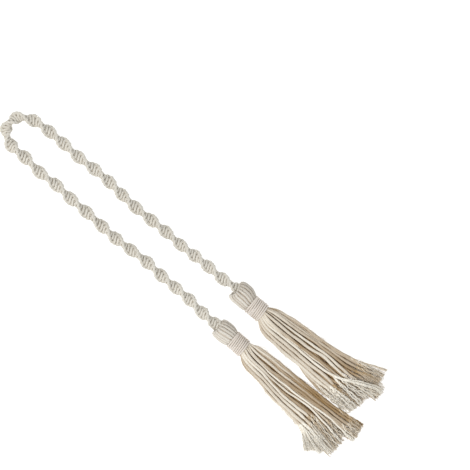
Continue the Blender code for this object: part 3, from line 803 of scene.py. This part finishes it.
def opened_yarns(bundle, generator, locks, widths, tones, combed, depths, opening, fibres, steps):
    """The last stretch of each yarn: its twist runs out, its plies part, their fibres spread to the cut."""
    strands = len(locks)
    centre = np.array([evenly(lock, steps) for lock in locks])
    reach = np.array([length_of(lock) for lock in locks])[:, None, None]
    width = widths.reshape(-1, 1, 1)
    crimped = 1 - np.asarray(combed, dtype=float).reshape(-1, 1, 1)
    spread = opening.spread * (width / FULL_WIDTH) ** 2 * (1.6 - 0.6 * crimped)
    run = np.linspace(0.0, 1.0, steps)
    twisted = np.cumsum(1 - smooth(run / TWIST_OUT)) / steps
    row = np.arange(strands)[:, None, None]
    phase = generator.uniform(0, math.tau, (strands, 1, 1))
    ply_spread = generator.uniform(*PLY_SPREADS, (strands, PLIES, 1))
    ply_lean = generator.normal(0, 1, (strands, PLIES, 1))
    ply_cut = np.abs(generator.normal(0, PLY_CUT_PLAY, (strands, PLIES, 1))) * (0.5 + 0.5 * crimped)
    ply_tone = generator.normal(0, PLY_TONE_PLAY, (strands, PLIES)) * (0.25 + 0.75 * crimped[..., 0])
    crimp_phase = generator.uniform(0, math.tau, (strands, PLIES, 1))
    crimp_length = CRIMP_LENGTH * generator.uniform(*CRIMP_LENGTHS, (strands, PLIES, 1))
    # first the plies, which taper away before the cut, then the fibres that they come apart in
    for whole_ply in (True, False):
        each = np.arange(PLIES) if whole_ply else np.arange(fibres) % PLIES
        count = len(each)
        short = 1 - np.abs(generator.normal(0, FIBRE_CUT_PLAY, (strands, count, 1))) - ply_cut[:, each]
        short = short - (PLY_STOPS if whole_ply else 0.0)
        t = run[None, None, :] * short
        place = t * (steps - 1)
        low = np.minimum(place.astype(int), steps - 2)
        part = (place - low)[..., None]
        middle = mix(centre[row, low], centre[row, low + 1], part)
        ahead = unit(centre[row, low + 1] - centre[row, low])
        side = unit(np.cross(np.array([0.0, 0.0, 1.0]), ahead))
        turn = math.tau * reach / opening.ply_turn * np.interp(t, run, twisted) + phase
        turn = turn + math.tau * each[None, :, None] / PLIES
        parted = width * 0.25 + spread * ply_spread[:, each] * smooth(t) ** 1.3
        own_angle = generator.uniform(0, math.tau, (strands, count, 1))
        own_share = 0.0 if whole_ply else FIBRE_REACH
        own_reach = own_share * width * np.sqrt(generator.uniform(0, 1, (strands, count, 1)))
        own_reach = own_reach * (1 + (1.8 - 1.2 * crimped) * t)
        waves = math.tau * t * reach / crimp_length[:, each] + crimp_phase[:, each]
        curl = opening.crimp * smooth(t / 0.3) * (0.15 + 0.85 * crimped)
        crimp = curl * (np.sin(waves) + 0.5 * np.sin(1.7 * waves))
        rolling = curl * np.cos(1.3 * waves)
        stray = generator.standard_t(3, (strands, count, 1)) * spread * STRAY_SHARE * t**2
        sideways = parted * np.cos(turn) + own_reach * np.cos(own_angle) + crimp + stray
        sideways = sideways + ply_lean[:, each] * spread * LEAN_SHARE * t**1.5
        upward = 0.75 * (parted * np.sin(turn) + own_reach * np.sin(own_angle)) + rolling
        path = middle + sideways[..., None] * side
        path[..., 2] += upward - 0.25 * width * smooth(t)
        path = path.reshape(strands * count, steps, 3)
        thick = PLY_SHARE * widths[:, None] if whole_ply else np.full((strands, 1), opening.fibre)
        taper = np.linspace(1.0, 0.3 if whole_ply else 0.75, steps)
        thick = np.repeat(thick, count, axis=0) * taper[None, :]
        path[..., 2] = np.maximum(path[..., 2], thick / 2 + SURFACE_CLEARANCE)
        tone = (tones[:, None] + ply_tone[:, each]).ravel()
        tone = tone + generator.normal(0, 0.05 if whole_ply else 0.2, strands * count)
        tone = mix(tone[:, None], PALEST + 0.85 * tone[:, None], smooth(1.5 * run))
        # painted shade of buried yarns, carried into their loose fibres and fading toward the cut
        depth = np.repeat(np.broadcast_to(depths, strands), count)[:, None] * (1 - 0.6 * run)
        bundle.lay(path, thick, tones=tone, depths=depth, sides=5 if whole_ply else 3)


def stray_hairs(bundle, generator, tassel, thickness, count):
    """Single hairs that have slipped out along a skirt's two edges: some arch back to it, some end free."""
    x, y = tassel.neck
    run = np.linspace(0.0, 1.0, 14)[None, :]
    start = generator.uniform(*HAIR_STARTS, (count, 1))
    length = generator.uniform(*HAIR_LENGTHS, (count, 1))
    front = generator.uniform(0, 1, (count, 1)) < HAIRS_IN_FRONT
    out = np.where(front, -1.0, 1.0)
    arched = generator.uniform(0, 1, (count, 1)) < HAIRS_ARCHED
    leaves = generator.uniform(*HAIR_LEAVES, (count, 1))
    away = leaves * np.where(arched, np.sin(math.pi * run) ** 0.8, run**1.6)
    s = start + length * run
    edge = np.where(front, read(tassel.fan, s, 1) + 1.0, read(tassel.fan, s, 2) - 1.0)
    across = edge + out * away + wander(generator, s, 0.25, 9.0)
    height = mix(3.4, 1.2, smooth(start / 60)) + 0.5 * np.sin(math.pi * run) * leaves
    paths = np.stack([x + WRAP_LENGTH + s, y + across, height + 0 * s], axis=2)
    bundle.lay(paths, thickness, sides=3, tones=generator.uniform(*HAIR_TONES, count))


def set_inputs(node, values):
    for key, value in values.items():
        node.inputs[key].default_value = value


# cleft_depth and cleft_share: how far into clefts the painted shade reaches, in metres, and how strongly it
# darkens
def cotton(name, light, dark, cleft_depth=0.0035, cleft_share=1.0, drawn=(1, 1, 1), uneven=0.3):
    """Spun cotton: uneven in tone from strand to strand, finely fibrous along its plies, dull and soft, with
    painted shade in its clefts and on threads that lie deep among the others.
    """
    material = bpy.data.materials.new(name)
    material.use_nodes = True
    nodes, links = material.node_tree.nodes, material.node_tree.links

    def add(kind, inputs, **options):
        """Adds a node. An input takes a value, or the output of another node."""
        made = nodes.new("ShaderNode" + kind)
        for key, value in options.items():
            setattr(made, key, value)
        for key, value in inputs.items():
            if isinstance(value, bpy.types.NodeSocket):
                links.new(value, made.inputs[key])
            else:
                made.inputs[key].default_value = value
        return made

    place = add("TexCoord", {})
    tone = add("Attribute", {}, attribute_name="tone").outputs["Fac"]
    depth = add("Attribute", {}, attribute_name="depth").outputs["Fac"]
    spread = add("Mapping", {"Vector": place.outputs["Object"], "Scale": drawn}).outputs["Vector"]
    patch = {"Vector": spread, "Scale": 60.0, "Detail": 3.0, "Roughness": 0.6}
    patches = add("TexNoise", patch).outputs["Fac"]
    slant = {"Vector": place.outputs["UV"], "Scale": GRAIN, "Rotation": (0.0, 0.0, GRAIN_SLANT)}
    slanted = add("Mapping", slant).outputs["Vector"]
    fibre = {"Vector": slanted, "Scale": 2.2, "Detail": 4.0, "Roughness": 0.65}
    fibres = add("TexNoise", fibre).outputs["Fac"]

    # the cotton's colour, patchy from strand to strand, with finer flecks along the fibres; its tone
    # attribute also carries the painted shade that is set strand by strand
    lighter = add("Math", {0: tone, 1: 0.5, 2: 0.5}, operation="MULTIPLY_ADD").outputs["Value"]
    patched = add("Math", {0: patches, 1: uneven, 2: lighter}, operation="MULTIPLY_ADD").outputs["Value"]
    shifted = add("Math", {0: patched, 1: uneven / 2}, operation="SUBTRACT", use_clamp=True).outputs["Value"]
    dyed = add("Mix", {"A": (*dark, 1.0), "B": (*light, 1.0), "Factor": shifted}, data_type="RGBA")
    fleck = {"Value": fibres, "From Min": 0.3, "From Max": 0.7, "To Min": 0.90, "To Max": 1.05}
    flecks = add("MapRange", fleck).outputs["Result"]
    spun = add("VectorMath", {"Vector": dyed.outputs["Result"], "Scale": flecks}, operation="SCALE")

    # painted shade: threads that lie deep among the others, by their depth attribute, and the clefts between
    # them, by ambient occlusion, are painted darker and warmer, toward the cleft shade colour
    painted_cleft_shade = add("AmbientOcclusion", {"Distance": cleft_depth}, samples=6, only_local=True).outputs["AO"]
    deepen = {"Value": painted_cleft_shade, "From Min": 0.1, "From Max": 0.6, "To Min": 1.0 - cleft_share}
    deepened = add("MapRange", deepen).outputs["Result"]
    buried = add("Math", {0: depth, 1: -0.5, 2: deepened}, operation="MULTIPLY_ADD", use_clamp=True)
    deep = (*settings().colours.painted_cleft_shade, 1.0)
    shade = {"A": deep, "B": spun.outputs["Vector"], "Factor": buried.outputs["Value"]}
    shaded = add("Mix", shade, data_type="RGBA").outputs["Result"]
    raised = add("Bump", {"Strength": 0.55, "Distance": 0.00012, "Height": fibres}).outputs["Normal"]

    skin = nodes["Principled BSDF"]
    set_inputs(skin, {"Roughness": 0.92, "Specular IOR Level": 0.12})
    links.new(shaded, skin.inputs["Base Color"])
    links.new(raised, skin.inputs["Normal"])
    return material


def settings():
    """The sizes and colours that a user may change."""
    return bpy.context.scene.tieback


a_length = partial(bpy.props.FloatProperty, unit="LENGTH")
a_colour = partial(bpy.props.FloatVectorProperty, subtype="COLOR")


class TiebackCord(bpy.types.PropertyGroup):
    string_width: a_length(name="String Width", description="Thickness of a working string", default=0.0031)
    filler_width: a_length(name="Filler Width", description="Thickness of a filler string", default=0.0034)
    band_width: a_length(name="Band Width", description="Across the band of knots", default=0.0132)
    band_thickness: a_length(name="Band Thickness", description="Through the band of knots", default=0.0066)
    ply_turn: a_length(name="Ply Turn", description="Length in which the plies go once round", default=0.0052)


class TiebackYarn(bpy.types.PropertyGroup):
    width: a_length(name="Yarn Width", description="Thickness of a tassel's yarn", default=0.0032)
    ply_turn: a_length(name="Ply Turn", description="Length in which the plies go once round", default=0.0051)
    ply_relief: bpy.props.FloatProperty(
        name="Ply Relief", description="Depth of the grooves between plies", default=0.2, subtype="FACTOR"
    )


class TiebackBinding(bpy.types.PropertyGroup):
    turns: bpy.props.IntProperty(name="Turns", description="Turns of string round the neck", default=8)
    string_width: a_length(
        name="String Width", description="Thickness of the binding's string", default=0.0021
    )


class TiebackFray(bpy.types.PropertyGroup):
    fibres: bpy.props.IntProperty(name="Fibres", description="Loose fibres of a yarn on top", default=44)
    under_fibres: bpy.props.IntProperty(
        name="Lower Fibres", description="Loose fibres of a yarn below", default=14
    )
    stray_hairs: bpy.props.IntProperty(
        name="Stray Hairs", description="Hairs along a skirt's edges", default=46
    )
    fibre_width: a_length(
        name="Fibre Width", description="Thickness of a wisp of loose fibres", default=0.0004
    )
    spread: a_length(name="Spread", description="How far the plies and fibres part", default=0.001)
    crimp: a_length(name="Crimp", description="Height of the waves that the twist leaves", default=0.00042)


class TiebackColours(bpy.types.PropertyGroup):
    cord: a_colour(name="Cord", description="The cord's cotton", default=(0.76, 0.725, 0.655))
    cord_shade: a_colour(name="Cord Shade", description="Its darker threads", default=(0.67, 0.63, 0.555))
    yarn: a_colour(name="Yarn", description="The tassels' cotton", default=(0.92, 0.86, 0.755))
    # the dark end of the yarns' tones, which carry painted shade as well as the yarns' own unevenness
    yarn_shade: a_colour(name="Yarn Shade", description="Its darker threads", default=(0.335, 0.217, 0.102))
    head: a_colour(name="Head", description="The cotton of the tassels' heads", default=(0.86, 0.82, 0.75))
    # the dark end of the heads' tones, which carry painted shade, darker on the side away from the key light
    head_shade: a_colour(name="Head Shade", description="Its darker threads", default=(0.46, 0.40, 0.33))
    loose: a_colour(
        name="Loose Fibres", description="The cotton of the opened ends", default=(0.99, 0.945, 0.85)
    )
    # the dark end of the loose fibres' tones, which carry on the yarns' painted shade
    loose_shade: a_colour(name="Loose Shade", description="Its darker fibres", default=(0.48, 0.33, 0.165))
    wrap: a_colour(name="Binding", description="The binding's string", default=(0.82, 0.76, 0.695))
    wrap_shade: a_colour(name="Binding Shade", description="Its darker threads", default=(0.70, 0.62, 0.55))
    # painted shade: the colour toward which clefts and deep threads are painted darker
    painted_cleft_shade: a_colour(name="Clefts", description="Cotton deep between threads", default=(0.40, 0.25, 0.105))


class TiebackStage(bpy.types.PropertyGroup):
    key_light: bpy.props.FloatProperty(
        name="Key Light", description="Power of the large soft light", default=21.0, unit="POWER"
    )
    sky: bpy.props.FloatProperty(name="Sky", description="Strength of the light all round", default=0.74)
    table_glow: bpy.props.FloatProperty(
        name="Table Glow", description="Light from the white table itself, as on a light table", default=0.75
    )
    camera_height: a_length(name="Camera Height", description="Above the tieback", default=4.0)


class TiebackSettings(bpy.types.PropertyGroup):
    cord: bpy.props.PointerProperty(type=TiebackCord)
    yarn: bpy.props.PointerProperty(type=TiebackYarn)
    binding: bpy.props.PointerProperty(type=TiebackBinding)
    fray: bpy.props.PointerProperty(type=TiebackFray)
    colours: bpy.props.PointerProperty(type=TiebackColours)
    stage: bpy.props.PointerProperty(type=TiebackStage)


class TIEBACK_OT_knotted_strings(bpy.types.Operator):
    """Ties the cord's two working strings round its two fillers, in half knots"""

    bl_idname = "tieback.knotted_strings"
    bl_label = "Knotted Strings"

    def execute(self, context):
        cord, colours = settings().cord, settings().colours
        generator = np.random.default_rng(SEEDS["cord"])
        string, filler, ply_turn = cord.string_width / MM, cord.filler_width / MM, cord.ply_turn / MM
        reach = (cord.band_width / MM - string) / 2
        depth = (cord.band_thickness / MM - string) / 2
        bundle = Bundle()
        for path in working_strings(generator, reach, depth, string / 2):
            spaced = evenly(path, int(length_of(path) / CORD_SPACING))
            tone = CORD_TONE * np.sin(np.arange(len(spaced)) / CORD_TONE_RUN)[None, :]
            bundle.lay(spaced[None], string, CORD_PLY_RELIEF, ply_turn, tone)
        for path in filler_strings(filler / 2):
            spaced = evenly(path, int(length_of(path) / FILLER_SPACING))
            bundle.lay(spaced[None], filler, CORD_PLY_RELIEF, ply_turn, FILLER_TONE)
        material = cotton(
            "cord_cotton", colours.cord, colours.cord_shade, cleft_depth=0.0025, cleft_share=0.22
        )
        bundle.piece("knotted_strings", material, "cotton_string", "knotted_cord")
        return {"FINISHED"}


class TIEBACK_OT_heads(bpy.types.Operator):
    """Folds the yarns over the cord's ends, in two layers, as the tassels' heads"""

    bl_idname = "tieback.heads"
    bl_label = "Heads"

    def execute(self, context):
        yarn, colours = settings().yarn, settings().colours
        material = cotton("head_cotton", colours.head, colours.head_shade, cleft_depth=0.003, cleft_share=0.7)
        thickness = yarn.width / MM * HEAD_YARN_SHARE
        for name, tassel in TASSELS.items():
            generator = np.random.default_rng(SEEDS["head"] + ord(name))
            bundle = Bundle()
            for inward, half_step, depth in HEAD_LAYERS:
                paths, widths, tones = head_paths(tassel, generator, thickness, inward, half_step)
                rows = np.concatenate([paths, widths[..., None]], axis=2)
                spaced = np.array([evenly(row, HEAD_STEPS) for row in rows])
                phase = generator.uniform(0, math.tau, len(spaced))
                ply_turn = yarn.ply_turn / MM
                bundle.lay(spaced[..., :3], spaced[..., 3], yarn.ply_relief, ply_turn, tones, depth, phase)
            bundle.piece(f"head_{name}", material, "cotton_yarn", f"tassel_{name}")
        return {"FINISHED"}


class TIEBACK_OT_bindings(bpy.types.Operator):
    """Winds the string round the neck of each tassel"""

    bl_idname = "tieback.bindings"
    bl_label = "Bindings"

    def execute(self, context):
        binding, colours = settings().binding, settings().colours
        material = cotton(
            "binding_cotton", colours.wrap, colours.wrap_shade, cleft_depth=0.002, cleft_share=0.6
        )
        string = binding.string_width / MM
        for name, tassel in TASSELS.items():
            generator = np.random.default_rng(SEEDS["binding"] + ord(name))
            path = binding_path(tassel, generator, binding.turns, string)
            spaced = evenly(through(path, 3), int(length_of(path) / WRAP_SPACING))
            bundle = Bundle()
            bundle.lay(spaced[None], string, WRAP_PLY_RELIEF, WRAP_PLY_TURN)
            bundle.piece(f"binding_{name}", material, "cotton_wrap", f"wrap_{name}")
        return {"FINISHED"}


class TIEBACK_OT_skirts(bpy.types.Operator):
    """Hangs the loose yarns of each tassel, fanned out on the table, with their cut ends frayed"""

    bl_idname = "tieback.skirts"
    bl_label = "Skirts and Frayed Ends"

    def execute(self, context):
        yarn, fray, colours = settings().yarn, settings().fray, settings().colours
        twisted = cotton("yarn_cotton", colours.yarn, colours.yarn_shade)
        loose = cotton(
            "loose_cotton",
            colours.loose,
            colours.loose_shade,
            cleft_depth=0.0014,
            cleft_share=0.25,
            drawn=(4, 14, 14),
            uneven=1.0,
        )
        opening = Opening(yarn.ply_turn / MM, fray.spread / MM, fray.crimp / MM, fray.fibre_width / MM)
        for name, tassel in TASSELS.items():
            generator = np.random.default_rng(SEEDS["skirt"] + ord(name))
            skirt, ends = Bundle(), Bundle()
            top = skirt_top(tassel, generator)
            opens = [strand.opens / strand.ends for strand in tassel.strands]
            combed = [strand.combed for strand in tassel.strands]
            lay_skirt(skirt, ends, generator, top, opens, combed, 0.0, yarn, opening, fray.fibres, TOP_STEPS)
            paths, tones, combed, buried = skirt_under(tassel, generator)
            under = (paths, np.full(paths.shape[:2], yarn.width / MM * UNDER_YARN_SHARE), tones)
            opens = generator.uniform(*UNDER_OPENS, len(paths))
            count = fray.under_fibres
            lay_skirt(skirt, ends, generator, under, opens, combed, buried, yarn, opening, count, UNDER_STEPS)
            stray_hairs(ends, generator, tassel, HAIR_SHARE * fray.fibre_width / MM, fray.stray_hairs)
            skirt.piece(f"skirt_{name}", twisted, "cotton_yarn", f"tassel_{name}")
            ends.piece(f"frayed_ends_{name}", loose, "cotton_yarn", f"tassel_{name}")
        return {"FINISHED"}


class TIEBACK_OT_stage(bpy.types.Operator):
    """Lays the pale table, and sets the soft lights and the camera"""

    bl_idname = "tieback.stage"
    bl_label = "Stage"

    def execute(self, context):
        stage = settings().stage
        scene = context.scene
        bpy.ops.object.select_all(action="DESELECT")
        bpy.ops.mesh.primitive_plane_add(size=TABLE_SIZE, location=(0, 0, -TABLE_DROP))
        table = context.object
        table.name = "table"
        bpy.ops.object.transform_apply(location=True)
        pale = bpy.data.materials.new("table_white")
        pale.use_nodes = True
        skin = pale.node_tree.nodes["Principled BSDF"]
        set_inputs(skin, {"Base Color": TABLE_COLOUR, "Roughness": 0.9, "Specular IOR Level": 0.1})
        set_inputs(skin, {"Emission Color": WHITE, "Emission Strength": stage.table_glow})
        table.data.materials.append(pale)

        bpy.ops.object.light_add(type="AREA", location=KEY_PLACE)
        key = context.object
        key.name = "soft_key"
        key.data.shape = "SQUARE"
        key.data.size = KEY_SIZE
        key.data.energy = stage.key_light
        key.data.color = KEY_COLOUR
        left, front, up = -KEY_PLACE[0], -KEY_PLACE[1], KEY_PLACE[2]
        key.rotation_euler = (math.atan2(KEY_AWAY, up), 0.0, -math.atan2(left, front))

        world = bpy.data.worlds.new("soft_sky")
        world.use_nodes = True
        sky = world.node_tree.nodes["Background"]
        set_inputs(sky, {"Color": SKY_COLOUR, "Strength": stage.sky})
        scene.world = world
        scene.view_settings.view_transform = "Standard"
        scene.view_settings.look = "None"

        height = stage.camera_height + MID_HEIGHT
        bpy.ops.object.camera_add(location=(*PICTURE_CENTRE, height), rotation=(0.0, 0.0, PICTURE_TURN))
        camera = context.object
        camera.name = "camera"
        camera.data.sensor_width = SENSOR
        camera.data.lens = SENSOR * stage.camera_height / PICTURE_WIDTH
        scene.camera = camera
        return {"FINISHED"}


class TIEBACK_PT_panel(bpy.types.Panel):
    """Lists the tieback's pieces"""

    bl_label = "Tieback"
    bl_idname = "TIEBACK_PT_panel"
    bl_space_type = "VIEW_3D"
    bl_region_type = "UI"
    bl_category = "Tieback"

    def draw(self, context):
        layout = self.layout
        for made in OPERATORS:
            layout.operator(made.bl_idname)
        for group in ("cord", "yarn", "binding", "fray", "colours", "stage"):
            box = layout.box()
            box.label(text=group.capitalize())
            kept = getattr(context.scene.tieback, group)
            for key in kept.__annotations__:
                box.prop(kept, key)


GROUPS = (
    TiebackCord,
    TiebackYarn,
    TiebackBinding,
    TiebackFray,
    TiebackColours,
    TiebackStage,
    TiebackSettings,
)
OPERATORS = (
    TIEBACK_OT_stage,
    TIEBACK_OT_knotted_strings,
    TIEBACK_OT_heads,
    TIEBACK_OT_bindings,
    TIEBACK_OT_skirts,
)
CLASSES = (*GROUPS, *OPERATORS, TIEBACK_PT_panel)


def register():
    for made in CLASSES:
        bpy.utils.register_class(made)
    bpy.types.Scene.tieback = bpy.props.PointerProperty(type=TiebackSettings)


def unregister():
    del bpy.types.Scene.tieback
    for made in reversed(CLASSES):
        bpy.utils.unregister_class(made)


def main():
    register()
    bpy.ops.tieback.stage()
    bpy.ops.tieback.knotted_strings()
    bpy.ops.tieback.heads()
    bpy.ops.tieback.bindings()
    bpy.ops.tieback.skirts()


if __name__ == "__main__":
    main()
